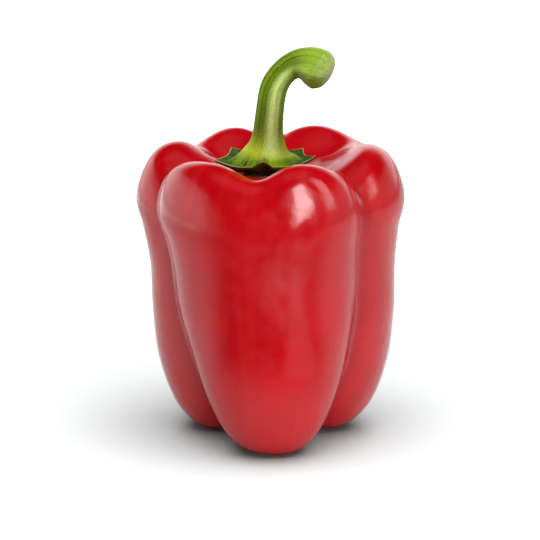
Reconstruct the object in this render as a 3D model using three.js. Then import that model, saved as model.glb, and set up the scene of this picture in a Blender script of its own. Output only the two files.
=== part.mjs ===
// A red bell pepper, picked with its green stem and calyx, standing upright on the tips of its three lobes.
// Millimetres, +Z up. The broad front lobe faces -Y. The origin is the middle of the pepper's footprint, on
// the surface that it stands on. Angles run round the axis from the front, -Y, towards the right, +X.
import * as THREE from "three";

// Driving dimensions of the fruit
const FRUIT_RADIUS = 42.8; // axis to the widest part of a shoulder
const FRUIT_HEIGHT = 96.3; // surface to the highest shoulder, before the tips are pressed flat
const FOOT_CUT = 0.35; // how much of each tip is pressed flat

// Driving dimensions of the calyx, the thin lobed plate at the foot of the stem
const CALYX_MIDDLE = [-1.6, 0];
const CALYX_RIM_HEIGHT = 90.8;
const FOOT_RADIUS = 6.4; // of the round foot that sits in the fruit's dimple
const SEAT_GAP = 0.3; // between the fruit and the foot

// How finely the surfaces are cut into faces
const FACES_PER_LOBE = 28; // round the fruit, between two grooves
const GROOVE_CROWDING = 0.7; // how strongly those faces crowd towards the grooves, from 0 to 1
const LEVELS_PER_STATION = 3; // along the fruit's outline, between two stations
const FACES_PER_EDGE = 4; // round the calyx, between a tip and the next notch
const RINGS_PER_JOINT = 2; // along the stem, between two joints of its middle line

const DEGREES = Math.PI / 180;
const { clamp, euclideanModulo, lerp, smoothstep } = THREE.MathUtils;

// The fruit's outline, from the seat under the calyx, over the shoulder, down the side and under to the
// middle. Each station gives radius and height over a lobe and in a groove, as shares of FRUIT_RADIUS and
// FRUIT_HEIGHT. square says how flat the lobe is across, dip how deep the hollow along its middle is, and
// fold how high the narrow pleats beside the grooves are.
const STATIONS = [
  { at: "seat middle", lobe: [0, 0.9], groove: [0, 0.9], square: 4, dip: 0, fold: 0 },
  { at: "seat edge", lobe: [0.17, 0.9], groove: [0.17, 0.9], square: 4, dip: 0, fold: 0 },
  { at: "dimple", lobe: [0.33, 0.914], groove: [0.31, 0.905], square: 4, dip: 0.5, fold: 0 },
  { at: "inner wall", lobe: [0.49, 0.953], groove: [0.455, 0.918], square: 4, dip: 1.5, fold: 0.3 },
  { at: "crest", lobe: [0.7, 1], groove: [0.63, 0.93], square: 4.4, dip: 1, fold: 1 },
  { at: "shoulder", lobe: [0.89, 0.96], groove: [0.77, 0.9], square: 4.3, dip: 0.6, fold: 1 },
  { at: "widest", lobe: [1, 0.83], groove: [0.84, 0.81], square: 4, dip: 0.15, fold: 1 },
  { at: "under shoulder", lobe: [0.952, 0.715], groove: [0.81, 0.705], square: 3.5, dip: 0, fold: 0.7 },
  { at: "waist", lobe: [0.915, 0.59], groove: [0.78, 0.59], square: 3.1, dip: 0, fold: 0.3 },
  { at: "body", lobe: [0.912, 0.43], groove: [0.745, 0.44], square: 2.8, dip: 0, fold: 0 },
  { at: "lower body", lobe: [0.875, 0.26], groove: [0.65, 0.28], square: 2.6, dip: 0, fold: 0 },
  { at: "heel", lobe: [0.78, 0.115], groove: [0.51, 0.18], square: 2.5, dip: 0, fold: 0 },
  { at: "outer tip", lobe: [0.63, 0.026], groove: [0.37, 0.135], square: 2.5, dip: 0, fold: 0 },
  { at: "tip", lobe: [0.45, 0], groove: [0.26, 0.12], square: 2.5, dip: 0, fold: 0 },
  { at: "inner tip", lobe: [0.28, 0.034], groove: [0.175, 0.115], square: 2.4, dip: 0, fold: 0 },
  { at: "underside", lobe: [0.14, 0.092], groove: [0.095, 0.12], square: 2.2, dip: 0, fold: 0 },
  { at: "underside middle", lobe: [0, 0.122], groove: [0, 0.122], square: 2.2, dip: 0, fold: 0 },
];
const LAST_STATION = STATIONS.length - 1;
const SEAT_EDGE = 1; // the numbers of the stations between which the lobes come to differ
const CREST = 4;
const WIDEST = 6;
const WAIST = 8;
const BODY = 9;

// How much fuller the fruit is towards its front and back at each station, as a share of FRUIT_RADIUS
const BELLY = [0, 0, 0, 0, 0, -0.035, -0.037, 0.035, 0.065, 0.037, 0.012, 0, 0, 0, 0, 0, 0];

// The three grooves, each as its angle at four levels along the outline, in degrees
const GROOVE_LEVELS = [4, 8, 10, 13];
const GROOVES = [
  [-83, -65, -57, -62],
  [49, 53, 55, 63],
  [178, 178, 178, 180],
];
const GROOVE_ROUNDING = 0.05; // share of a lobe's half width over which a groove's bottom is rounded

// The three lobes, each between one groove and the next. reach scales the radius at the shoulder and at the
// body. lift raises the crest at the first and the last edge, as a share of FRUIT_HEIGHT. dip is the hollow
// that parts its two humps: place from -1 to 1 across, depth and width. folds are its pleats, at both edges.
const LOBES = [
  { name: "front", reach: [1, 1], lift: [-0.022, 0.006], dip: [0.11, 0.78, 0.23], folds: [0.14, 0.14] },
  { name: "right", reach: [0.99, 1.02], lift: [-0.022, 0.012], dip: [0.12, 0.5, 0.3], folds: [0, 0.1] },
  { name: "left", reach: [1.03, 0.985], lift: [-0.01, -0.017], dip: [0, 0.8, 0.3], folds: [0.1, 0] },
];
const FOLD_AT = 0.935; // where the middle of a pleat lies, from the lobe's middle to its edge
const FOLD_WIDTH = 0.03;

// The calyx's rim, as [degrees, millimetres from its middle, millimetres of rise]: a tip and the notch after
// it, all the way round. The notch at the front is the deepest and folds up.
const CALYX_RIM = [
  [-80, 16.2, -0.2], [-52, 14.2, -0.6], [-17, 14, 0], [-4, 10.6, 1], [9, 13.7, 0], [52, 12.8, -0.5],
  [97, 15.7, 0], [113, 13.7, -0.6], [133, 16.3, 0.3], [158, 13.4, -0.6], [184, 15.5, 0.2], [204, 13.6, -0.6],
  [221, 16.6, 0.3], [250, 13.2, -0.6],
];

// Rings of the calyx from its foot out to the rim and back in to the stem: share of the way from the foot's
// edge to the rim, and height above the rim's upper edge
const CALYX_RINGS = [
  [0.32, -2.9], [0.66, -1.75], [0.93, -1.05], [1, 0], [0.8, -0.55], [0.55, -0.7], [0.34, 0.5],
];

// The stem's middle line, from the calyx up and over to the cut end, and its radius at each joint
const STEM_JOINTS = [
  { at: [-1.5, 0, 92.6], radius: 7.4 },
  { at: [-1.3, 0, 94.6], radius: 6 },
  { at: [-1.1, 0, 97.2], radius: 5.1 },
  { at: [-0.9, 0, 100.9], radius: 4.6 },
  { at: [-0.2, 0, 107.7], radius: 4.35 },
  { at: [0.5, 0, 111.8], radius: 4.35 },
  { at: [1.4, 0, 114.3], radius: 4.3 },
  { at: [3.3, 0, 117.2], radius: 4.15 },
  { at: [6, -0.2, 119.6], radius: 4.2 },
  { at: [8.7, -0.6, 120.6], radius: 4.8 },
  { at: [11.7, -1.3, 120.5], radius: 5.8 },
  { at: [14.9, -2.3, 119.4], radius: 6.4 },
  { at: [16.3, -2.8, 118.8], radius: 5.85 },
];
const LAST_JOINT = STEM_JOINTS.length - 1;
const TANGENT_STEP = 0.05; // share of a joint over which the middle line's direction is taken
const STEM_RIBS = 5;
const RIB_VALLEY = -22; // degrees, of the valley between two ribs that runs down the front
const RIB_DEPTH = 0.045; // share of the stem's radius

// Rings of the cut end: share of the last joint's radius, and millimetres onward from it
const CUT_RINGS = [[0.87, 1.15], [0.66, 2.05], [0.36, 2.6]];
const CUT_MIDDLE = 2.75; // millimetres onward to the middle of the cut end, which is healed over and round

// The value at a level along a smooth curve that passes a list of numbers, one at each whole level.
function smoothValue(numbers, level) {
  const last = numbers.length - 1;
  const from = Math.min(Math.floor(level), last - 1);
  const [a, b, c, d] = [-1, 0, 1, 2].map((step) => numbers[clamp(from + step, 0, last)]);
  const share = level - from;
  const leaving = (c - a) / 2;
  const arriving = (d - b) / 2;
  const cubic = 2 * b - 2 * c + leaving + arriving;
  const squared = 3 * c - 3 * b - 2 * leaving - arriving;
  return ((cubic * share + squared) * share + leaving) * share + b;
}

// The angle of a groove at a level along the outline, in degrees.
function grooveAngle(number, level) {
  const angles = GROOVES[number % GROOVES.length];
  let angle = angles[0] + (number < GROOVES.length ? 0 : 360);
  for (let mark = 1; mark < GROOVE_LEVELS.length; mark += 1) {
    const turned = smoothstep(level, GROOVE_LEVELS[mark - 1], GROOVE_LEVELS[mark]);
    angle += (angles[mark] - angles[mark - 1]) * turned;
  }
  return angle;
}

// A bell-shaped swelling, 1 at its middle.
function swelling(place, middle, width) {
  return Math.exp(-(((place - middle) / width) ** 2));
}

// A point of the fruit: across runs from -1 to 1 over the lobe, from one groove to the next.
function fruitPoint(lobeNumber, across, level) {
  const lobe = LOBES[lobeNumber];
  const outline = (pick) => smoothValue(STATIONS.map(pick), level);
  const edgeShare = (across + 1) / 2;
  const angle = DEGREES * lerp(grooveAngle(lobeNumber, level), grooveAngle(lobeNumber + 1, level), edgeShare);

  const inward = Math.hypot(1 - Math.abs(across), GROOVE_ROUNDING) - GROOVE_ROUNDING;
  const bulge = 1 - (1 - inward) ** outline((station) => station.square);
  const [dipAt, dipDepth, dipWidth] = lobe.dip;
  const hollow = dipDepth * swelling(across, dipAt, dipWidth) * outline((station) => station.dip);
  const fold = lobe.folds[across < 0 ? 0 : 1] * swelling(Math.abs(across), FOLD_AT, FOLD_WIDTH);
  const fullness = bulge - hollow + fold * outline((station) => station.fold);

  const reach = lerp(...lobe.reach, smoothstep(level, WIDEST, BODY));
  const belly = smoothValue(BELLY, level) * Math.cos(angle) ** 2 * (1 - across ** 2);
  const lobeRadius = outline((station) => station.lobe[0]) * reach + belly;
  const radius = FRUIT_RADIUS * lerp(outline((station) => station.groove[0]), lobeRadius, fullness);

  const raised = smoothstep(level, SEAT_EDGE, CREST) * (1 - smoothstep(level, CREST, WAIST));
  const lobeHeight = outline((station) => station.lobe[1]);
  const plainHeight = lerp(outline((station) => station.groove[1]), lobeHeight, fullness);
  const height = FRUIT_HEIGHT * (plainHeight + lerp(...lobe.lift, edgeShare) * raised);
  return [radius * Math.sin(angle), -radius * Math.cos(angle), Math.max(height - FOOT_CUT, 0)];
}

// A closed surface from rings of points, which run down its outside, with a fan to one point at each end.
function ringedGeometry(first, rings, last) {
  const sides = rings[0].length;
  const positions = [first, ...rings.flat(), last].flat();
  const faces = [];
  const corner = (ring, side) => 1 + ring * sides + (side % sides);
  const end = 1 + rings.length * sides;
  for (let side = 0; side < sides; side += 1) {
    faces.push(0, corner(0, side), corner(0, side + 1));
    for (let ring = 0; ring + 1 < rings.length; ring += 1) {
      faces.push(corner(ring, side), corner(ring + 1, side), corner(ring + 1, side + 1));
      faces.push(corner(ring, side), corner(ring + 1, side + 1), corner(ring, side + 1));
    }
    faces.push(end, corner(rings.length - 1, side + 1), corner(rings.length - 1, side));
  }
  const geometry = new THREE.BufferGeometry();
  geometry.setAttribute("position", new THREE.Float32BufferAttribute(positions, 3));
  geometry.setIndex(faces);
  geometry.computeVertexNormals();
  return geometry;
}

function fruitGeometry() {
  const rings = [];
  for (let step = 1; step < LAST_STATION * LEVELS_PER_STATION; step += 1) {
    const ring = [];
    for (let lobe = 0; lobe < LOBES.length; lobe += 1)
      for (let face = 0; face < FACES_PER_LOBE; face += 1) {
        const turn = (2 * Math.PI * face) / FACES_PER_LOBE;
        const across = (turn - GROOVE_CROWDING * Math.sin(turn)) / Math.PI - 1;
        ring.push(fruitPoint(lobe, across, step / LEVELS_PER_STATION));
      }
    rings.push(ring);
  }
  return ringedGeometry(fruitPoint(0, 0, 0), rings, fruitPoint(0, 0, LAST_STATION));
}

// The calyx's rim all the way round, pointed at the tips and round in the notches.
function calyxRim() {
  const rim = [];
  CALYX_RIM.forEach(([degrees, radius, rise], number) => {
    const [nextDegrees, nextRadius, nextRise] = CALYX_RIM[(number + 1) % CALYX_RIM.length];
    const turn = euclideanModulo(nextDegrees - degrees, 360);
    const leavesTip = number % 2 === 0;
    for (let face = 0; face < FACES_PER_EDGE; face += 1) {
      const share = face / FACES_PER_EDGE;
      const eased = leavesTip ? 1 - (1 - share) ** 2 : share ** 2;
      const angle = (degrees + turn * share) * DEGREES;
      rim.push({ angle, radius: lerp(radius, nextRadius, eased), rise: lerp(rise, nextRise, eased) });
    }
  });
  return rim;
}

// A ring round the calyx's middle, a share of the way from the foot's edge to the rim.
function calyxRing(rim, share, height) {
  const [x, y] = CALYX_MIDDLE;
  return rim.map((edge) => {
    const radius = lerp(FOOT_RADIUS, edge.radius, share);
    const raised = height + edge.rise * share ** 2;
    return [x + radius * Math.sin(edge.angle), y - radius * Math.cos(edge.angle), raised];
  });
}

// A point of the stem's middle line.
function stemMiddle(level) {
  const along = (axis) => smoothValue(STEM_JOINTS.map((joint) => joint.at[axis]), level);
  return new THREE.Vector3(along(0), along(1), along(2));
}

// A ribbed ring square to the stem's middle line, moved onward along it by some millimetres.
function stemRing(rim, level, scale, onward) {
  const radius = scale * smoothValue(STEM_JOINTS.map((joint) => joint.radius), level);
  const before = stemMiddle(Math.max(level - TANGENT_STEP, 0));
  const along = stemMiddle(Math.min(level + TANGENT_STEP, LAST_JOINT)).sub(before).normalize();
  const front = new THREE.Vector3(0, -1, 0).addScaledVector(along, along.y).normalize();
  const right = new THREE.Vector3().crossVectors(along, front);
  const centre = stemMiddle(level).addScaledVector(along, onward);
  return rim.map(({ angle }) => {
    const ribbed = radius * (1 - RIB_DEPTH * Math.cos(STEM_RIBS * (angle - RIB_VALLEY * DEGREES)));
    const point = centre.clone().addScaledVector(right, ribbed * Math.sin(angle));
    return point.addScaledVector(front, ribbed * Math.cos(angle)).toArray();
  });
}

function stemGeometry() {
  const rim = calyxRim();
  const seat = FRUIT_HEIGHT * STATIONS[SEAT_EDGE].lobe[1] - FOOT_CUT + SEAT_GAP;
  const rings = [calyxRing(rim, 0, seat)];
  for (const [share, height] of CALYX_RINGS)
    rings.push(calyxRing(rim, share, CALYX_RIM_HEIGHT + height));
  for (let step = 0; step <= LAST_JOINT * RINGS_PER_JOINT; step += 1)
    rings.push(stemRing(rim, step / RINGS_PER_JOINT, 1, 0));
  for (const [scale, onward] of CUT_RINGS)
    rings.push(stemRing(rim, LAST_JOINT, scale, onward));
  const cutMiddle = stemRing(rim, LAST_JOINT, 0, CUT_MIDDLE)[0];
  return ringedGeometry(cutMiddle, rings.reverse(), [...CALYX_MIDDLE, seat]);
}

const fruit = new THREE.Mesh(
  fruitGeometry(),
  new THREE.MeshStandardMaterial({ color: 0xc4101a, roughness: 0.25, metalness: 0 }),
);
fruit.name = "fruit";

const stem = new THREE.Mesh(
  stemGeometry(),
  new THREE.MeshStandardMaterial({ color: 0x6f9a2a, roughness: 0.55, metalness: 0 }),
);
stem.name = "stem";

const pepper = new THREE.Group();
pepper.add(fruit, stem);

// Stands the middle of the pepper's footprint on the origin.
const extent = new THREE.Box3().setFromObject(pepper);
const middle = extent.getCenter(new THREE.Vector3());
for (const mesh of pepper.children)
  mesh.geometry.translate(-middle.x, -middle.y, -extent.min.z);

export default pepper;
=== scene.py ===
"""A red bell pepper with its green stem and calyx, dressed and lit as for a plain studio photograph.

Metres, +Z up, the broad front lobe towards -Y. Azimuths run round the pepper from the front, -Y, towards
the right, +X.
"""
import math
from collections import namedtuple

import bpy
import numpy as np
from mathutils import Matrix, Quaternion, Vector


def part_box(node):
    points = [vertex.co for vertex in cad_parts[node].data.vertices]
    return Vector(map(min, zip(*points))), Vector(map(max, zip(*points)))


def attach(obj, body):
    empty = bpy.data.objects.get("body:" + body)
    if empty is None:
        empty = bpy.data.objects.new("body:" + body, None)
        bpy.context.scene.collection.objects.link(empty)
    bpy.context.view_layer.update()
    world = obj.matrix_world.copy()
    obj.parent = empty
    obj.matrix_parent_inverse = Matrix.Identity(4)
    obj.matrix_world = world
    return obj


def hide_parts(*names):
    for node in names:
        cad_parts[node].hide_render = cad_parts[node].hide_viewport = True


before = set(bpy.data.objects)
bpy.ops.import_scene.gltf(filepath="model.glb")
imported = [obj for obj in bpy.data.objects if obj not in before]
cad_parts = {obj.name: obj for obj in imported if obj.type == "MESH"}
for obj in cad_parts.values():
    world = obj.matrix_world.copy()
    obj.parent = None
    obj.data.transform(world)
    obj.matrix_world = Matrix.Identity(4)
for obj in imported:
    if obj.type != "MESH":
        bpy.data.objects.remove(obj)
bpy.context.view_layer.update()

# How finely the surfaces are cut into faces
FACES_PER_LOBE = 96  # round the fruit, between two grooves
GROOVE_CROWDING = 0.6  # how strongly those faces crowd towards the grooves, from 0 to 1
LEVELS_PER_STATION = 14  # along the fruit's outline, between two stations
FACES_PER_EDGE = 18  # round the calyx, between a tip and the next notch
RINGS_PER_RING = 8  # along the stem, for each of the rings that shape it

# The fruit's outline, from the seat under the calyx over the shoulder, down the side and under to the
# middle. The first pair is over a lobe and the second in a groove, both radius and height as shares of
# the fruit's. square is how flat a lobe is across, dip how deep the hollow along its middle is, fold how
# high the pleats at its edges are and belly how much fuller it is towards the front and the back.
Station = namedtuple("Station", "lobe groove square dip fold belly")
STATIONS = {
    "seat middle": Station((0, 0.9), (0, 0.9), square=4, dip=0, fold=0, belly=0),
    "seat edge": Station((0.17, 0.9), (0.17, 0.9), square=4, dip=0, fold=0, belly=0),
    "dimple": Station((0.33, 0.914), (0.31, 0.905), square=4, dip=0.5, fold=0, belly=0),
    "inner wall": Station((0.49, 0.953), (0.455, 0.918), square=4, dip=1.5, fold=0.3, belly=0),
    "crest": Station((0.7, 1), (0.63, 0.93), square=4.4, dip=1, fold=1, belly=0),
    "shoulder": Station((0.89, 0.96), (0.77, 0.9), square=4.3, dip=0.6, fold=1, belly=-0.035),
    "widest": Station((1, 0.83), (0.84, 0.81), square=4, dip=0.15, fold=1, belly=-0.037),
    "under shoulder": Station((0.952, 0.715), (0.81, 0.705), square=3.5, dip=0, fold=0.7, belly=0.035),
    "waist": Station((0.915, 0.59), (0.78, 0.59), square=3.1, dip=0, fold=0.3, belly=0.065),
    "body": Station((0.912, 0.43), (0.745, 0.44), square=2.8, dip=0, fold=0, belly=0.037),
    "lower body": Station((0.875, 0.26), (0.65, 0.28), square=2.6, dip=0, fold=0, belly=0.012),
    "heel": Station((0.78, 0.115), (0.51, 0.18), square=2.5, dip=0, fold=0, belly=0),
    "outer tip": Station((0.63, 0.026), (0.37, 0.135), square=2.5, dip=0, fold=0, belly=0),
    "tip": Station((0.45, 0), (0.26, 0.12), square=2.5, dip=0, fold=0, belly=0),
    "inner tip": Station((0.28, 0.034), (0.175, 0.115), square=2.4, dip=0, fold=0, belly=0),
    "underside": Station((0.14, 0.092), (0.095, 0.12), square=2.2, dip=0, fold=0, belly=0),
    "underside middle": Station((0, 0.122), (0, 0.122), square=2.2, dip=0, fold=0, belly=0),
}
STATION_NAMES = list(STATIONS)
LAST_STATION = len(STATIONS) - 1
SEAT_EDGE = STATION_NAMES.index("seat edge")
CREST = STATION_NAMES.index("crest")
WIDEST = STATION_NAMES.index("widest")
WAIST = STATION_NAMES.index("waist")
BODY = STATION_NAMES.index("body")
FRUIT_RADIUS = 42.8  # millimetres
FRUIT_HEIGHT = 96.3
PRESSED_FLAT = 0.35  # how much of each tip, in millimetres

# The three grooves, each as its angle in degrees at four stations
GROOVE_LEVELS = [STATION_NAMES.index(name) for name in ("crest", "waist", "lower body", "tip")]
GROOVES = [
    (-83, -65, -57, -62),
    (49, 53, 55, 63),
    (178, 178, 178, 180),
]
GROOVE_ROUNDING = 0.05  # share of a lobe's half width over which a groove's bottom is rounded

# The three lobes, each between one groove and the next. reach scales the radius at the shoulder and at
# the body. lift raises the crest at the first and the last edge. The dip is the hollow that parts a
# lobe's two humps, with its place from -1 to 1 across, and folds are the pleats at both edges.
Lobe = namedtuple("Lobe", "reach lift dip_at dip_depth dip_width folds")
FRONT_LOBE = Lobe((1, 1), (-0.022, 0.006), dip_at=0.11, dip_depth=0.78, dip_width=0.23, folds=(0.14, 0.14))
RIGHT_LOBE = Lobe((0.99, 1.02), (-0.022, 0.012), dip_at=0.12, dip_depth=0.5, dip_width=0.3, folds=(0, 0.1))
LEFT_LOBE = Lobe((1.03, 0.985), (-0.01, -0.017), dip_at=0, dip_depth=0.8, dip_width=0.3, folds=(0.1, 0))
LOBES = [FRONT_LOBE, RIGHT_LOBE, LEFT_LOBE]
FOLD_AT = 0.935  # where the middle of a pleat lies, from the lobe's middle to its edge
FOLD_WIDTH = 0.03

# The skin's own unevenness: size of the swells and how far they rise, as shares of the fruit's height
SWELLS = [(0.3, 0.0022), (0.13, 0.0007)]
WAVES_PER_SWELL = 28
WAVE_SPREAD = (0.6, 1.3)  # from wider to narrower waves than the swell's size asks for

# The calyx, in millimetres. The foot below it stands in the fruit's seat.
CALYX_MIDDLE = (-1.6, 0)
CALYX_RIM_HEIGHT = 90.8
FOOT_RADIUS = 6.4
SEAT_HEIGHT = 86.62
# Its rim as (degrees, radius, rise), a tip and the notch after it on each line
CALYX_RIM = [
    (-80, 16.2, -0.2), (-52, 14.2, -0.6),
    (-17, 14, 0), (-4, 10.6, 1),
    (9, 13.7, 0), (52, 12.8, -0.5),
    (97, 15.7, 0), (113, 13.7, -0.6),
    (133, 16.3, 0.3), (158, 13.4, -0.6),
    (184, 15.5, 0.2), (204, 13.6, -0.6),
    (221, 16.6, 0.3), (250, 13.2, -0.6),
]
VEINS = 14  # on the calyx's upper face
VEIN_RISE = 0.9  # four times how far a vein stands up half way to the rim
# Rings of the calyx from its foot out to the rim and back in to the stem: share of the way from the
# foot's edge to the rim, and height above the rim's upper edge
CALYX_RINGS = [
    (0.32, -2.9), (0.66, -1.75), (0.93, -1.05), (1, 0), (0.8, -0.55), (0.55, -0.7), (0.34, 0.5),
]

# The stem's middle line in millimetres, from the calyx up and over to the cut end, and its radius
STEM_JOINTS = [
    ((-1.5, 0, 92.6), 7.4),
    ((-1.3, 0, 94.6), 6),
    ((-1.1, 0, 97.2), 5.1),
    ((-0.9, 0, 100.9), 4.6),
    ((-0.2, 0, 107.7), 4.35),
    ((0.5, 0, 111.8), 4.35),
    ((1.4, 0, 114.3), 4.3),
    ((3.3, 0, 117.2), 4.15),
    ((6, -0.2, 119.6), 4.2),
    ((8.7, -0.6, 120.6), 4.8),
    ((11.7, -1.3, 120.5), 5.8),
    ((14.9, -2.3, 119.4), 6.4),
    ((16.3, -2.8, 118.8), 5.85),
]
LAST_JOINT = len(STEM_JOINTS) - 1
TANGENT_STEP = 0.05  # share of a joint over which the middle line's direction is taken
STEM_RIBS = 5
RIB_VALLEY = -22  # the azimuth in degrees of a valley between two ribs
RIB_DEPTH = 0.045  # share of the stem's radius
# Rings of the cut end: share of the last joint's radius, and millimetres onward from it
CUT_RINGS = [(0.87, 1.15), (0.66, 2.05), (0.36, 2.6)]
# The numbers of the rings at the calyx's upper rim, at the stem's foot and at the edge of its cut end
RIM_RING = 4
FOOT_RING = len(CALYX_RINGS) + 1
CUT_RING = FOOT_RING + LAST_JOINT

# The camera, aimed at a point on the pepper's axis
CAMERA_DISTANCE = 1.0
CAMERA_ELEVATION = 15  # degrees
CAMERA_TARGET_HEIGHT = 0.0546
PICTURE_WIDTH = 0.1701  # of what the picture shows at the pepper's axis
SENSOR_WIDTH = 36  # millimetres
NEAREST_SEEN = 0.01

# The studio
FLOOR_WIDTH = 12
LIGHT_MIDDLE_HEIGHT = 0.06
FRONT_TIP = Vector((0, -0.03, 0.01))
STRAIGHT_UP = Vector((0, 0, 1))
CARD_AZIMUTH = 31  # degrees, of the small lit card that the front lobe mirrors
CARD_REACH = 0.135
CARD_HEIGHT = 0.004
BACKDROP_STRENGTH = (0.01, 1.6)  # where it is dark and where it is white
BACKDROP_TOP = (0.25, 0.65)  # the rise of a direction over which the white ends
BACKDROP_FRONT = (0.45, 0.75)  # the share of it towards the front over which the white ends
BACKDROP_RIGHT = (0.5, 0.9)  # the share of it towards the right over which the white grows dimmer
RIGHT_BACKDROP_SHARE = 0.45  # how much of the white is left on the right
SCATTERED_BACKDROP_SHARE = 0.45  # how much of it lights what is not glossy

# The floor. Reaches are in metres from the pepper's axis, and sectors are shares of the way towards the
# front or the right, over which one tone goes over into the next.
PAPER_FAR_REACH = (0.1, 0.4)
TABLE_FRONT_REACH = (0.04, 0.1)
TABLE_FAR_REACH = (0.15, 0.7)
TABLE_FRONT_SECTOR = (0.25, 0.8)
TABLE_RIGHT_SECTOR = (-0.4, 0.4)
SCATTERED_TABLE_SHARE = 0.5  # how much of the table's tone the rays that scatter from it see

# Colours, as linear red, green and blue
DEEP_RED = (0.35, 0.0004, 0.003)
RIPE_RED = (0.4, 0.001, 0.005)
STREAK_RED = (0.42, 0.006, 0.007)
FLECK_ORANGE = (0.7, 0.06, 0.04)
# Painted shade: the darker red that the skin takes towards the bottom of each groove
GROOVE_SHADE_RED = (0.22, 0.001, 0.004)
SCAR_BROWN = (0.07, 0.035, 0.012)
SCAR_TAN = (0.16, 0.09, 0.035)
STEM_GREEN = (0.09, 0.18, 0.001)
BAND_GREEN = (0.19, 0.3, 0.003)
# Painted light: the paler green of the stem's ribs
LIT_RIB_GREEN = (0.2, 0.3, 0.02)
PATCH_GREEN = (0.17, 0.26, 0.01)
LINE_GREEN = (0.015, 0.045, 0.001)
# Painted shade: the darker green of the valleys between the stem's ribs
SHADED_VALLEY_GREEN = (0.045, 0.095, 0.001)
FLARE_YELLOW = (0.52, 0.61, 0.04)
# Painted highlight: the pale yellow of the key light's glint up the stem's front
PAINTED_HIGHLIGHT_YELLOW = (0.64, 0.78, 0.24)
KNOB_GREEN = (0.2, 0.35, 0.004)
KNOB_LIME = (0.42, 0.58, 0.02)
# Painted shade: the dark greens of the calyx's upper face, its dish
SHADED_CALYX_GREEN = (0.012, 0.035, 0.004)
SHADED_CALYX_PALE_GREEN = (0.05, 0.085, 0.015)
RIM_TAN = (0.4, 0.38, 0.12)
# Painted shade: the darker green of the calyx's underside
CALYX_UNDERSIDE_SHADE = (0.035, 0.06, 0.01)
CUT_GREEN = (0.16, 0.26, 0.008)
CUT_WHITE = (0.5, 0.56, 0.18)
SHADED_GREEN = (0.04, 0.075, 0.001)
SPECK_GREEN = (0.02, 0.05, 0.002)
SPECK_LIME = (0.45, 0.58, 0.08)
TABLE_UNDER = (0.24, 0.24, 0.24)
TABLE_FRONT = (0.004, 0.004, 0.004)
TABLE_ASIDE = (0.25, 0.25, 0.25)
TABLE_FAR_LEFT = (0.8, 0.8, 0.8)
TABLE_FAR_RIGHT = (0.3, 0.3, 0.3)
PAPER_NEAR = (0.262, 0.268, 0.268)
PAPER_NEAR_PALE = (0.272, 0.278, 0.278)
PAPER_FAR = (0.75, 0.75, 0.75)

# Scales of the patterns, per metre or, where they are stretched, per unit of the grain
SKIN_PATCH_SCALE = 55
SKIN_FLECK_SCALE = 1900
SKIN_DULLNESS_SCALE = 240
SKIN_STREAK_STRETCH = (9, 9, 2.2)
STEM_BAND_STRETCH = (2.6, 2.6, 2)
STEM_LINE_STRETCH = (12, 12, 1.3)
STEM_LINE_ROUGHNESS = 0.55
STEM_PATCH_SCALE = 260
STEM_SPECK_SCALE = 2300
STEM_GRIT_SCALE = 900
PAPER_CLOUD_SCALE = 3

# Surfaces. Each layer of the skin's unevenness has its scale, detail and depth: swells, ripples and
# pores. Depths are in metres, and roughness and shine are given as the lowest and the highest.
SKIN_UNEVENNESS = [(80, 2, 0.00012), (300, 3, 0.00007), (1100, 2, 0.00002)]
SKIN_ROUGHNESS = (0.14, 0.24)
WAX_IOR = 1.46
STEM_ROUGHNESS = (0.36, 0.5)
STEM_SHINE = (0.06, 0.5)
FIBRE_DEPTH = 0.00045
GRIT_DEPTH = 0.00008
FLARE_STRENGTH = 0.75
EDGE_STRENGTH = 0.85
HIGHLIGHT_TURN = 0.3  # how far round to the right of the front the painted highlight runs


# Curves and grids of points

def smooth_value(numbers, level):
    """The value at each level along a smooth curve that passes the numbers, one at each whole level."""
    numbers = np.asarray(numbers, float)
    last = len(numbers) - 1
    start = np.minimum(np.floor(level).astype(int), last - 1)
    a, b, c, d = (numbers[np.clip(start + step, 0, last)] for step in (-1, 0, 1, 2))
    share = np.reshape(level - start, np.shape(level) + (1,) * (numbers.ndim - 1))
    leaving = (c - a) / 2
    arriving = (d - b) / 2
    cubic = 2 * b - 2 * c + leaving + arriving
    squared = 3 * c - 3 * b - 2 * leaving - arriving
    return ((cubic * share + squared) * share + leaving) * share + b


def lerp(first, second, share):
    return first + (second - first) * share


def smoothstep(value, low, high):
    share = np.clip((value - low) / (high - low), 0, 1)
    return share * share * (3 - 2 * share)


def swelling(place, middle, width):
    """A bell-shaped swelling, 1 at its middle."""
    return np.exp(-(((place - middle) / width) ** 2))


def grid_normals(points):
    """Unit normals of a grid of rings that run down the outside of a closed surface."""
    down = np.gradient(points, axis=0)
    around = np.roll(points, -1, axis=1) - np.roll(points, 1, axis=1)
    normals = np.cross(down, around)
    return normals / np.maximum(np.linalg.norm(normals, axis=-1, keepdims=True), 1e-12)


def waves(points, size, seed):
    """A smooth random field from about -1 to 1, whose swells are about a given size across."""
    chance = np.random.default_rng(seed)
    total = np.zeros(points.shape[:-1])
    for _ in range(WAVES_PER_SWELL):
        direction = chance.normal(size=3)
        direction *= math.pi / size * chance.uniform(*WAVE_SPREAD) / np.linalg.norm(direction)
        total += np.sin(points @ direction + chance.uniform(0, 2 * math.pi))
    return total / math.sqrt(WAVES_PER_SWELL)


def fit_to_node(points, node):
    """Moves and scales points so that they fill the box of a node of the frame."""
    low, high = (np.array(corner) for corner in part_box(node))
    own_low = points.reshape(-1, 3).min(axis=0)
    own_high = points.reshape(-1, 3).max(axis=0)
    return low + (points - own_low) * (high - low) / (own_high - own_low)


# The fruit

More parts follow.
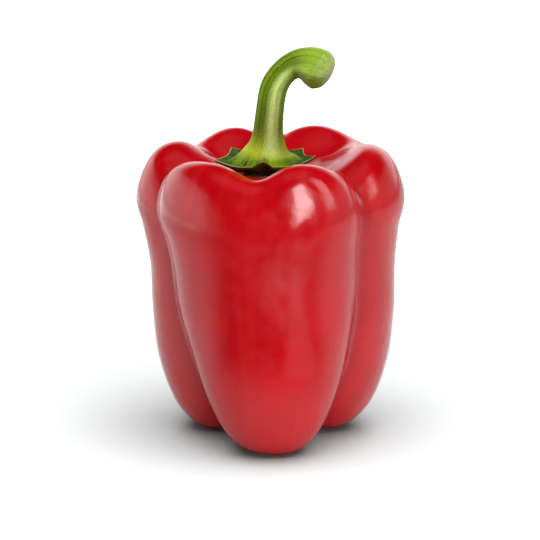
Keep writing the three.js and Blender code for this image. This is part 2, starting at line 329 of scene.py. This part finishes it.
def groove_angle(number, level):
    """The angle of a groove at each level along the outline, in degrees."""
    angles = GROOVES[number % len(GROOVES)]
    angle = angles[0] + (0 if number < len(GROOVES) else 360) + np.zeros_like(level)
    for mark in range(1, len(GROOVE_LEVELS)):
        turned = smoothstep(level, GROOVE_LEVELS[mark - 1], GROOVE_LEVELS[mark])
        angle += (angles[mark] - angles[mark - 1]) * turned
    return angle


def outline_at(level):
    """The values of the fruit's outline at each level, where the stations are the whole levels."""
    return Station(*(smooth_value(values, level) for values in zip(*STATIONS.values())))


def lobe_grid(number, across, level):
    """Points of one lobe, as shares of the fruit's height, with their angle and bulge: across runs from
    -1 to 1 from one groove to the next, and level along the outline."""
    lobe = LOBES[number]
    outline = outline_at(level)
    edge_share = (across + 1) / 2
    angle = np.radians(lerp(groove_angle(number, level), groove_angle(number + 1, level), edge_share))
    inward = np.hypot(1 - np.abs(across), GROOVE_ROUNDING) - GROOVE_ROUNDING
    bulge = 1 - np.maximum(1 - inward, 0) ** outline.square
    hollow = lobe.dip_depth * swelling(across, lobe.dip_at, lobe.dip_width) * outline.dip
    fold = np.where(across < 0, *lobe.folds) * swelling(np.abs(across), FOLD_AT, FOLD_WIDTH)
    fullness = bulge - hollow + fold * outline.fold

    reach = lerp(*lobe.reach, smoothstep(level, WIDEST, BODY))
    belly = outline.belly * np.cos(angle) ** 2 * (1 - across ** 2)
    lobe_radius = outline.lobe[..., 0] * reach + belly
    radius = FRUIT_RADIUS / FRUIT_HEIGHT * lerp(outline.groove[..., 0], lobe_radius, fullness)
    raised = smoothstep(level, SEAT_EDGE, CREST) * (1 - smoothstep(level, CREST, WAIST))
    height = lerp(outline.groove[..., 1], outline.lobe[..., 1], fullness)
    height = height + lerp(*lobe.lift, edge_share) * raised - PRESSED_FLAT / FRUIT_HEIGHT
    points = np.stack([radius * np.sin(angle), -radius * np.cos(angle), height], axis=-1)
    return points, angle, bulge


def fruit_grid():
    """The fruit's rings of points, and for each point its angle, level and nearness to a groove."""
    level = np.arange(1, LAST_STATION * LEVELS_PER_STATION) / LEVELS_PER_STATION
    turn = 2 * math.pi * np.arange(FACES_PER_LOBE) / FACES_PER_LOBE
    across = (turn - GROOVE_CROWDING * np.sin(turn)) / math.pi - 1
    grids = [lobe_grid(number, across[None, :], level[:, None]) for number in range(len(LOBES))]
    points, angle, bulge = (np.concatenate(parts, axis=1) for parts in zip(*grids))
    level = np.broadcast_to(level[:, None], angle.shape)
    return points, angle, level, 1 - bulge


def fruit_points():
    points, angle, level, groove = fruit_grid()
    normals = grid_normals(points)
    free = smoothstep(level, SEAT_EDGE, CREST)[..., None]
    for seed, (size, rise) in enumerate(SWELLS):
        points = points + normals * free * rise * waves(points, size, seed)[..., None]
    points[..., 2] = np.maximum(points[..., 2], 0)
    return fit_to_node(points, "fruit"), angle, level, groove


# The stem and its calyx

def calyx_rim():
    """Angle, radius and rise of the calyx's rim all round, pointed at the tips and round in the notches."""
    share = np.arange(FACES_PER_EDGE) / FACES_PER_EDGE
    angles = []
    radii = []
    rises = []
    for number, (degrees, radius, rise) in enumerate(CALYX_RIM):
        next_degrees, next_radius, next_rise = CALYX_RIM[(number + 1) % len(CALYX_RIM)]
        eased = 1 - (1 - share) ** 2 if number % 2 == 0 else share ** 2
        angles.append(np.radians(degrees + (next_degrees - degrees) % 360 * share))
        radii.append(lerp(radius, next_radius, eased))
        rises.append(lerp(rise, next_rise, eased))
    return np.concatenate(angles), np.concatenate(radii), np.concatenate(rises)


def calyx_ring(rim, share, height):
    angle, rim_radius, rise = rim
    radius = lerp(FOOT_RADIUS, rim_radius, share)
    x, y = CALYX_MIDDLE
    veined = VEIN_RISE * np.cos(VEINS * angle) * share * (1 - share)
    height = height + rise * share ** 2 + veined
    return np.stack([x + radius * np.sin(angle), y - radius * np.cos(angle), height], axis=-1)


def stem_ring(angle, joint, scale=1.0, onward=0.0):
    """A ribbed ring square to the stem's middle line, moved onward along it by some millimetres."""
    middles = [at for at, _ in STEM_JOINTS]
    radius = scale * STEM_JOINTS[joint][1]
    before = smooth_value(middles, np.array(max(joint - TANGENT_STEP, 0)))
    along = smooth_value(middles, np.array(min(joint + TANGENT_STEP, LAST_JOINT))) - before
    along /= np.linalg.norm(along)
    front = np.array([0, -1, 0]) + along * along[1]
    front /= np.linalg.norm(front)
    right = np.cross(along, front)
    ribbed = radius * (1 - RIB_DEPTH * np.cos(STEM_RIBS * (angle - math.radians(RIB_VALLEY))))
    across = np.sin(angle)[:, None] * right + np.cos(angle)[:, None] * front
    return np.array(middles[joint]) + along * onward + ribbed[:, None] * across


def stem_rings(rim):
    """The rings that shape the stem, from the calyx's foot to the cut end."""
    angle = rim[0]
    rings = [calyx_ring(rim, 0, SEAT_HEIGHT)]
    rings += [calyx_ring(rim, share, CALYX_RIM_HEIGHT + height) for share, height in CALYX_RINGS]
    rings += [stem_ring(angle, joint) for joint in range(len(STEM_JOINTS))]
    rings += [stem_ring(angle, LAST_JOINT, scale, onward) for scale, onward in CUT_RINGS]
    return np.array(rings)


def stem_grid():
    """The stem's rings of points, with the cut end first, and each point's angle and ring number."""
    rim = calyx_rim()
    angle = rim[0]
    rings = stem_rings(rim)
    number = np.arange((len(rings) - 1) * RINGS_PER_RING + 1) / RINGS_PER_RING
    points = smooth_value(rings, number)
    number, angle = np.broadcast_arrays(number[:, None], angle[None, :])
    return points[::-1], angle[::-1], number[::-1]


# Meshes

def ring_mesh(name, points, first, last):
    """A closed mesh from rings of points that run down its outside, with a fan to a point at each end."""
    rings, sides = points.shape[:2]
    vertices = np.concatenate([[first], points.reshape(-1, 3), [last]])
    side = np.arange(sides)
    after = (side + 1) % sides
    ring = 1 + np.arange(rings - 1)[:, None] * sides
    quads = np.stack([ring + side, ring + sides + side, ring + sides + after, ring + after], axis=-1)
    top = [(0, 1 + a, 1 + b) for a, b in zip(side, after)]
    low = 1 + (rings - 1) * sides
    bottom = [(low + sides, low + b, low + a) for a, b in zip(side, after)]
    mesh = bpy.data.meshes.new(name)
    mesh.from_pydata(vertices.tolist(), [], quads.reshape(-1, 4).tolist() + top + bottom)
    mesh.shade_smooth()
    piece = bpy.data.objects.new(name, mesh)
    bpy.context.collection.objects.link(piece)
    return piece


def add_attribute(piece, name, values):
    """Stores a number or a vector for each point of a ring mesh; each end point gets its ring's mean."""
    vector = values.ndim == 3
    first, last = values[0].mean(axis=0), values[-1].mean(axis=0)
    flat = values.reshape(-1, 3) if vector else values.reshape(-1)
    kind = "FLOAT_VECTOR" if vector else "FLOAT"
    layer = piece.data.attributes.new(name, kind, "POINT")
    numbers = np.concatenate([[first], flat, [last]]).astype(np.float32)
    layer.data.foreach_set("vector" if vector else "value", numbers.reshape(-1))


def make_fruit():
    points, angle, level, groove = fruit_points()
    piece = ring_mesh("Fruit", points, points[0].mean(axis=0), points[-1].mean(axis=0))
    add_attribute(piece, "grain", np.stack([np.sin(angle), -np.cos(angle), level / LAST_STATION], axis=-1))
    add_attribute(piece, "groove", groove)
    add_attribute(piece, "station", level)
    return piece


def make_stem():
    points, angle, number = stem_grid()
    points = fit_to_node(points, "stem")
    piece = ring_mesh("Stem", points, points[0].mean(axis=0), points[-1].mean(axis=0))
    add_attribute(piece, "grain", np.stack([np.sin(angle), -np.cos(angle), number / CUT_RING], axis=-1))
    add_attribute(piece, "ring", number)
    add_attribute(piece, "valley", np.cos(STEM_RIBS * (angle - math.radians(RIB_VALLEY))))
    return piece


# Materials

def new_material(name):
    """A material with its node tree and its one Principled shader."""
    material = bpy.data.materials.new(name)
    material.use_nodes = True
    tree = material.node_tree
    return material, tree, tree.nodes["Principled BSDF"]


def add_node(tree, kind, inputs=None, **settings):
    """A node with some of its settings and inputs given: an input is a number, a colour or a socket."""
    made = tree.nodes.new("ShaderNode" + kind)
    for name, value in settings.items():
        setattr(made, name, value)
    for name, value in (inputs or {}).items():
        if isinstance(value, bpy.types.NodeSocket):
            tree.links.new(value, made.inputs[name])
        else:
            made.inputs[name].default_value = value
    return made


def noise(tree, place, scale, detail, roughness=0.5):
    """A cloudy pattern from 0 to 1, whose scale is given per unit of the place it is drawn on."""
    inputs = {"Vector": place, "Scale": scale, "Detail": detail, "Roughness": roughness}
    return add_node(tree, "TexNoise", inputs).outputs["Fac"]


def grain_noise(tree, grain, stretch, roughness=0.5):
    """A pattern drawn along the grain of a piece: stretch scales it across, across again and along."""
    stretched = add_node(tree, "Mapping", {"Vector": grain, "Scale": stretch}).outputs["Vector"]
    return noise(tree, stretched, 1, detail=3, roughness=roughness)


def attribute(tree, name, output="Fac"):
    return add_node(tree, "Attribute", attribute_name=name).outputs[output]


def object_place(tree):
    return add_node(tree, "TexCoord").outputs["Object"]


def axes_of(tree, vector):
    return add_node(tree, "SeparateXYZ", {"Vector": vector}).outputs


def length_of(tree, vector):
    return add_node(tree, "VectorMath", {0: vector}, operation="LENGTH").outputs["Value"]


def maths(tree, operation, first, second):
    return add_node(tree, "Math", {0: first, 1: second}, operation=operation).outputs["Value"]


def product(tree, first, *others):
    """The product of two or more values."""
    total = first
    for other in others:
        total = maths(tree, "MULTIPLY", total, other)
    return total


def span(tree, value, low, high, to_low=0.0, to_high=1.0):
    """The value carried smoothly from one range to another, and held at its ends."""
    inputs = {"Value": value, "From Min": low, "From Max": high, "To Min": to_low, "To Max": to_high}
    return add_node(tree, "MapRange", inputs, interpolation_type="SMOOTHSTEP").outputs["Result"]


def band(tree, value, start, full, fading, gone):
    """1 while the value is from full to fading, and 0 before start and after gone."""
    return product(tree, span(tree, value, start, full), span(tree, value, fading, gone, 1, 0))


def blend(tree, share, first, second):
    """A colour that goes from the first to the second as share goes from 0 to 1."""
    made = add_node(tree, "Mix", data_type="RGBA")
    slots = [(made.inputs["Factor"], share), (made.inputs[6], first), (made.inputs[7], second)]
    for slot, value in slots:
        if isinstance(value, bpy.types.NodeSocket):
            tree.links.new(value, slot)
        elif isinstance(value, tuple):
            slot.default_value = (*value, 1)
        else:
            slot.default_value = value
    return made.outputs[2]


def bump(tree, height, distance, normal=None):
    """A normal tilted by a height from 0 to 1 that stands for a distance in metres, over another normal."""
    inputs = {"Height": height, "Distance": distance, "Strength": 1}
    if normal is not None:
        inputs["Normal"] = normal
    return add_node(tree, "Bump", inputs).outputs["Normal"]


def skin_colour(tree, place):
    """Red in two tones, with faint streaks and flecks, painted shade in the grooves and a brown scar
    underneath.
    """
    patches = noise(tree, place, SKIN_PATCH_SCALE, detail=3)
    streaks = grain_noise(tree, attribute(tree, "grain", "Vector"), SKIN_STREAK_STRETCH)
    flecks = noise(tree, place, SKIN_FLECK_SCALE, detail=1)
    ripe = span(tree, patches, 0.35, 0.7)
    streaked = span(tree, streaks, 0.5, 0.75, 0, 0.5)
    flecked = span(tree, flecks, 0.6, 0.75, 0, 0.08)
    # Painted shade: the skin turns darker red towards the bottom of each groove
    painted_groove_shade = span(tree, attribute(tree, "groove"), 0.75, 1, 0, 0.5)
    scarred = span(tree, attribute(tree, "station"), LAST_STATION - 0.3, LAST_STATION - 0.1)
    colour = blend(tree, ripe, DEEP_RED, RIPE_RED)
    colour = blend(tree, streaked, colour, STREAK_RED)
    colour = blend(tree, flecked, colour, FLECK_ORANGE)
    colour = blend(tree, painted_groove_shade, colour, GROOVE_SHADE_RED)
    return blend(tree, scarred, colour, blend(tree, patches, SCAR_BROWN, SCAR_TAN))


def skin_material():
    material, tree, shader = new_material("Skin")
    place = object_place(tree)
    dull = noise(tree, place, SKIN_DULLNESS_SCALE, detail=3)
    normal = None
    for scale, detail, distance in SKIN_UNEVENNESS:
        normal = bump(tree, noise(tree, place, scale, detail), distance, normal)
    tree.links.new(skin_colour(tree, place), shader.inputs["Base Color"])
    tree.links.new(span(tree, dull, 0.3, 0.7, *SKIN_ROUGHNESS), shader.inputs["Roughness"])
    tree.links.new(normal, shader.inputs["Normal"])
    shader.inputs["IOR"].default_value = WAX_IOR
    return material


# What the stem's colours follow: its ring number and rib valleys, how far round it a point is towards
# the right and the front, and patterns along its grain and all over it
StemLooks = namedtuple("StemLooks", "ring valley right front bands lines patches specks")


def stem_looks(tree, place):
    grain = attribute(tree, "grain", "Vector")
    axes = axes_of(tree, grain)
    return StemLooks(
        ring=attribute(tree, "ring"),
        valley=attribute(tree, "valley"),
        right=axes["X"],
        front=product(tree, axes["Y"], -1),
        bands=grain_noise(tree, grain, STEM_BAND_STRETCH),
        lines=grain_noise(tree, grain, STEM_LINE_STRETCH, STEM_LINE_ROUGHNESS),
        patches=noise(tree, place, STEM_PATCH_SCALE, detail=3),
        specks=noise(tree, place, STEM_SPECK_SCALE, detail=2),
    )


def ribbed_green(tree, looks):
    """The stem's green in two tones, with painted light on its ribs, painted shade in its valleys and dark
    lines on its left.
    """
    # Painted light on the ribs and painted shade in the valleys between them
    painted_rib_light = span(tree, looks.valley, -0.9, -0.1, 0.25, 0)
    patchy = span(tree, looks.patches, 0.4, 0.7, 0, 0.4)
    on_left = span(tree, looks.right, -0.6, 0.4, 1, 0.3)
    lined = product(tree, span(tree, looks.lines, 0.4, 0.5, 0.95, 0), on_left)
    painted_valley_shade = span(tree, looks.valley, 0.2, 1, 0, 0.35)
    colour = blend(tree, span(tree, looks.bands, 0.35, 0.65), STEM_GREEN, BAND_GREEN)
    colour = blend(tree, painted_rib_light, colour, LIT_RIB_GREEN)
    colour = blend(tree, patchy, colour, PATCH_GREEN)
    colour = blend(tree, lined, colour, LINE_GREEN)
    return blend(tree, painted_valley_shade, colour, SHADED_VALLEY_GREEN)


def add_pale_parts(tree, looks, colour):
    """The pale flare at the stem's foot, the broken painted highlight up its front and the knob before its
    cut.
    """
    flare = band(tree, looks.ring, FOOT_RING - 1.5, FOOT_RING + 0.5, FOOT_RING + 0.5, FOOT_RING + 3.5)
    toward_highlight = maths(tree, "ADD", looks.front, product(tree, looks.right, HIGHLIGHT_TURN))
    above_foot = span(tree, looks.ring, FOOT_RING - 1, FOOT_RING + 1.5)
    below_knob = span(tree, looks.ring, CUT_RING - 5, CUT_RING - 3, 1, 0.2)
    broken = span(tree, looks.bands, 0.3, 0.6, 0.5, 0.85)
    # Painted highlight: a pale broken streak where the key light glints on the stem's front
    painted_highlight = product(tree, span(tree, toward_highlight, 0.84, 1.06), above_foot, below_knob, broken)
    knob = span(tree, looks.ring, CUT_RING - 3.5, CUT_RING - 1.5, 0, 0.55)
    colour = blend(tree, product(tree, flare, FLARE_STRENGTH), colour, FLARE_YELLOW)
    colour = blend(tree, painted_highlight, colour, PAINTED_HIGHLIGHT_YELLOW)
    return blend(tree, knob, colour, blend(tree, looks.patches, KNOB_GREEN, KNOB_LIME))


def painted_calyx_shade(tree, looks):
    """Where painted shade darkens the upper face of the calyx, its dish, fading towards its front."""
    from_front = span(tree, looks.front, 0.45, 0.9, 1, 0.1)
    return product(tree, span(tree, looks.ring, FOOT_RING - 2.6, FOOT_RING - 1.2, 1, 0), from_front)


def add_calyx(tree, looks, face, colour):
    """The calyx's mottled upper face with its painted shade, its pale edge and painted shade darkening its
    underside.
    """
    edge = band(tree, looks.ring, RIM_RING - 0.45, RIM_RING - 0.15, RIM_RING + 0.15, RIM_RING + 0.4)
    # Painted shade: the calyx's underside is darkened
    below = span(tree, looks.ring, RIM_RING - 0.9, RIM_RING - 0.6, 1, 0)
    colour = blend(tree, face, colour, blend(tree, looks.patches, SHADED_CALYX_GREEN, SHADED_CALYX_PALE_GREEN))
    colour = blend(tree, product(tree, edge, EDGE_STRENGTH), colour, RIM_TAN)
    return blend(tree, below, colour, CALYX_UNDERSIDE_SHADE)


def add_cut(tree, looks, colour):
    cut = span(tree, looks.ring, CUT_RING, CUT_RING + 1.6)
    return blend(tree, cut, colour, blend(tree, looks.patches, CUT_GREEN, CUT_WHITE))


def add_shade_and_specks(tree, looks, colour):
    """Darker green where the stem faces down, and fine dark and pale specks all over."""
    upward = axes_of(tree, add_node(tree, "NewGeometry").outputs["Normal"])["Z"]
    colour = blend(tree, span(tree, upward, -0.8, 0.15, 0.85, 0), colour, SHADED_GREEN)
    colour = blend(tree, span(tree, looks.specks, 0.5, 0.64, 0, 0.3), colour, SPECK_GREEN)
    return blend(tree, span(tree, looks.specks, 0.3, 0.45, 0.2, 0), colour, SPECK_LIME)


def stem_material():
    """One material for the stem and its calyx, glossy only towards the cut end."""
    material, tree, shader = new_material("Stem")
    place = object_place(tree)
    looks = stem_looks(tree, place)
    face = painted_calyx_shade(tree, looks)
    colour = add_pale_parts(tree, looks, ribbed_green(tree, looks))
    colour = add_calyx(tree, looks, face, colour)
    colour = add_cut(tree, looks, colour)
    colour = add_shade_and_specks(tree, looks, colour)
    knob_shine = span(tree, looks.ring, CUT_RING - 4, CUT_RING - 1.5, *STEM_SHINE)
    shine = product(tree, knob_shine, span(tree, face, 0, 1, 1, 0.1))
    fibres = bump(tree, looks.lines, FIBRE_DEPTH)
    grit = bump(tree, noise(tree, place, STEM_GRIT_SCALE, detail=3), GRIT_DEPTH, fibres)
    tree.links.new(colour, shader.inputs["Base Color"])
    tree.links.new(span(tree, looks.patches, 0.3, 0.7, *STEM_ROUGHNESS), shader.inputs["Roughness"])
    tree.links.new(shine, shader.inputs["Specular IOR Level"])
    tree.links.new(grit, shader.inputs["Normal"])
    return material


def mirrored_table(tree, place, reach):
    """The darker table top that the skin mirrors: black in front of the pepper, and palest far left."""
    axes = axes_of(tree, place)
    forward = maths(tree, "DIVIDE", product(tree, axes["Y"], -1), reach)
    rightward = maths(tree, "DIVIDE", axes["X"], reach)
    front = blend(tree, span(tree, reach, *TABLE_FRONT_REACH), TABLE_UNDER, TABLE_FRONT)
    far = blend(tree, span(tree, rightward, *TABLE_RIGHT_SECTOR), TABLE_FAR_LEFT, TABLE_FAR_RIGHT)
    aside = blend(tree, span(tree, reach, *TABLE_FAR_REACH), TABLE_ASIDE, far)
    return blend(tree, span(tree, forward, *TABLE_FRONT_SECTOR), aside, front)


def white_paper(tree, place, reach):
    """The paper that the camera sees, a little cloudy and paler far from the pepper."""
    near = blend(tree, noise(tree, place, PAPER_CLOUD_SCALE, detail=2), PAPER_NEAR, PAPER_NEAR_PALE)
    return blend(tree, span(tree, reach, *PAPER_FAR_REACH), near, PAPER_FAR)


def floor_material():
    """White paper, and a darker table top for the rays that mirror it and half of those that scatter."""
    material, tree, shader = new_material("Floor")
    place = object_place(tree)
    reach = length_of(tree, place)
    rays = add_node(tree, "LightPath").outputs
    scattered = product(tree, rays["Is Diffuse Ray"], SCATTERED_TABLE_SHARE)
    unseen = maths(tree, "ADD", rays["Is Glossy Ray"], scattered)
    colour = blend(tree, unseen, white_paper(tree, place, reach), mirrored_table(tree, place, reach))
    tree.links.new(colour, shader.inputs["Base Color"])
    shader.inputs["Specular IOR Level"].default_value = 0
    shader.inputs["Roughness"].default_value = 1
    return material


def dress(piece, node, material):
    piece.data.materials.append(material)
    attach(piece, "root")
    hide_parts(node)


# Studio

def heading(azimuth, elevation):
    """The direction from the pepper at an azimuth and an elevation, in degrees."""
    turn, rise = math.radians(azimuth), math.radians(elevation)
    return Vector((math.sin(turn) * math.cos(rise), -math.cos(turn) * math.cos(rise), math.sin(rise)))


def make_floor():
    half = FLOOR_WIDTH / 2
    mesh = bpy.data.meshes.new("Floor")
    corners = [(-half, -half, 0), (half, -half, 0), (half, half, 0), (-half, half, 0)]
    mesh.from_pydata(corners, [], [(0, 1, 2, 3)])
    mesh.materials.append(floor_material())
    floor = bpy.data.objects.new("Floor", mesh)
    bpy.context.collection.objects.link(floor)
    return floor


def add_lamp(name, place, aim, width, height, radiance, mirrored=False, lighting=True, lean=0.0):
    """A rectangular soft light, aimed at a point and leaning by some degrees about its line of aim. The
    skin may mirror it or not, and it may light what is not glossy or not."""
    light = bpy.data.lights.new(name, "AREA")
    light.shape = "RECTANGLE"
    light.size = width
    light.size_y = height
    light.energy = radiance * math.pi * width * height
    lamp = bpy.data.objects.new(name, light)
    lamp.location = place
    lean_turn = Quaternion((0, 0, 1), math.radians(lean))
    lamp.rotation_euler = ((place - aim).to_track_quat("Z", "Y") @ lean_turn).to_euler()
    lamp.visible_camera = False
    lamp.visible_glossy = mirrored
    lamp.visible_diffuse = lighting
    bpy.context.collection.objects.link(lamp)
    return lamp


def add_panel(name, azimuth, distance, width, low, high, radiance, **settings):
    """An upright light panel at an azimuth, whose edges are at two heights."""
    level = Vector((0, 0, (low + high) / 2))
    place = level + heading(azimuth, 0) * distance
    return add_lamp(name, place, level, width, high - low, radiance, **settings)


def make_mirrored_panels():
    """What the skin mirrors: a dim wall on the left, a bright window at the right front, a dim one right."""
    only_mirrored = {"mirrored": True, "lighting": False}
    add_panel("Left panel", azimuth=-90, distance=0.85, width=2.2, low=0, high=0.68, radiance=0.6,
              **only_mirrored)
    add_panel("Key glint", azimuth=21, distance=0.9, width=0.44, low=0.34, high=1.05, radiance=14.5,
              lean=21, **only_mirrored)
    add_panel("Right window", azimuth=70, distance=0.9, width=0.3, low=0.32, high=1.35, radiance=4.3,
              **only_mirrored)
    card = heading(CARD_AZIMUTH, 0) * CARD_REACH
    card_height = STRAIGHT_UP * CARD_HEIGHT
    add_lamp("Streak card", place=card + card_height, aim=card + STRAIGHT_UP, width=0.05, height=0.13,
             radiance=0.7, lean=-32, **only_mirrored)


def make_lights():
    """What lights the colours of the pepper without being mirrored by it."""
    middle = STRAIGHT_UP * LIGHT_MIDDLE_HEIGHT
    add_panel("Key window", azimuth=28, distance=0.9, width=0.52, low=0.2, high=1.1, radiance=2.3)
    add_lamp("Top fill", place=STRAIGHT_UP * 1.5, aim=middle, width=1.2, height=1.2, radiance=7.2)
    add_lamp("Front reflector", place=Vector((0.06, -0.3, 0.02)), aim=middle, width=0.3, height=0.16,
             radiance=0.8)
    add_lamp("Low reflector", place=Vector((0.05, -0.16, 0.02)), aim=FRONT_TIP, width=0.16, height=0.03,
             radiance=11)


def make_floor_light(floor):
    """One overhead light that reaches only the floor and draws the soft shadow on it."""
    middle = STRAIGHT_UP * LIGHT_MIDDLE_HEIGHT
    overhead = add_lamp("Overhead", place=Vector((0.1, -0.4, 1.4)), aim=middle, width=2, height=1.6,
                        radiance=9.5)
    lit = bpy.data.collections.new("Lit from overhead")
    lit.objects.link(floor)
    overhead.light_linking.receiver_collection = lit


def make_world():
    """A white backdrop low down at the sides and the back, and dark overhead and in front."""
    world = bpy.data.worlds.new("Studio")
    world.use_nodes = True
    bpy.context.scene.world = world
    tree = world.node_tree
    axes = axes_of(tree, add_node(tree, "TexCoord").outputs["Generated"])
    level = add_node(tree, "CombineXYZ", {"X": axes["X"], "Y": axes["Y"]}).outputs["Vector"]
    reach = length_of(tree, level)
    frontness = maths(tree, "DIVIDE", product(tree, axes["Y"], -1), reach)
    rightness = maths(tree, "DIVIDE", axes["X"], reach)
    behind = span(tree, frontness, *BACKDROP_FRONT, 1, 0)
    low_down = span(tree, axes["Z"], *BACKDROP_TOP, 1, 0)
    dimmer_right = span(tree, rightness, *BACKDROP_RIGHT, 1, RIGHT_BACKDROP_SHARE)
    scattering = add_node(tree, "LightPath").outputs["Is Diffuse Ray"]
    dimmer_scattered = span(tree, scattering, 0, 1, 1, SCATTERED_BACKDROP_SHARE)
    white = product(tree, behind, low_down, dimmer_right, dimmer_scattered)
    background = tree.nodes["Background"]
    background.inputs["Color"].default_value = (1, 1, 1, 1)
    tree.links.new(span(tree, white, 0, 1, *BACKDROP_STRENGTH), background.inputs["Strength"])


def make_camera():
    data = bpy.data.cameras.new("Camera")
    data.sensor_width = SENSOR_WIDTH
    data.lens = SENSOR_WIDTH * CAMERA_DISTANCE / PICTURE_WIDTH
    data.clip_start = NEAREST_SEEN
    camera = bpy.data.objects.new("Camera", data)
    back = heading(0, CAMERA_ELEVATION)
    camera.location = Vector((0, 0, CAMERA_TARGET_HEIGHT)) + back * CAMERA_DISTANCE
    camera.rotation_euler = back.to_track_quat("Z", "Y").to_euler()
    bpy.context.collection.objects.link(camera)
    bpy.context.scene.camera = camera


make_camera()
dress(make_fruit(), "fruit", skin_material())
dress(make_stem(), "stem", stem_material())
floor = make_floor()
make_mirrored_panels()
make_lights()
make_floor_light(floor)
make_world()
bpy.context.scene.view_settings.view_transform = "Standard"
